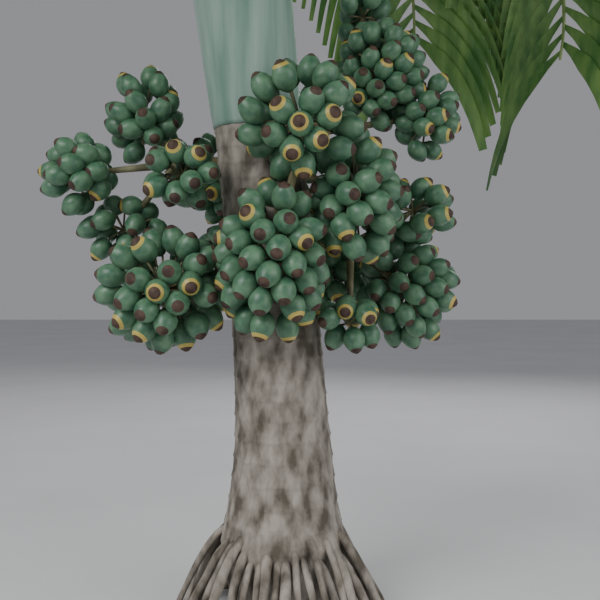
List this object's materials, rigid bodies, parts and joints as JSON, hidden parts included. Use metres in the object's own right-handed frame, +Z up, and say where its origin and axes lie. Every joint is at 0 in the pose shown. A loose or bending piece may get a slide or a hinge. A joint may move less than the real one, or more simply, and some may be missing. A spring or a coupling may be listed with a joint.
{
  "type": "betel nut palm",
  "caption": "Whole dwarf betel nut palm in fruit: a ringed, leaning trunk on prop roots, a smooth green crownshaft, arching feather fronds and crowded bunches of oval nuts.",
  "frame": {"origin": "centre of the flat cut at ground level, under the trunk", "axes": "+Z up along the foot of the trunk; the largest fruit bunch faces -Y; the trunk leans towards -X"},
  "size_m": [2.2616, 2.1659, 2.0793],
  "materials": {
    "bark": "matte",
    "crownshaft": "satin",
    "frond": "satin",
    "fruit": "satin"
  },
  "bodies": {
    "root": {"trunk": "bark", "crownshaft": "crownshaft", "spear_leaf": "frond", "frond_1": "frond", "frond_2": "frond", "frond_3": "frond", "frond_4": "frond", "frond_5": "frond", "frond_6": "frond", "frond_7": "frond", "frond_8": "frond", "frond_9": "frond", "frond_10": "frond", "bunch_front": "fruit", "bunch_front_left": "fruit", "bunch_left": "fruit", "bunch_right_upper": "fruit", "bunch_right_lower": "fruit", "bunch_back": "fruit", "bunch_back_right": "fruit"}
  },
  "joints": []
}
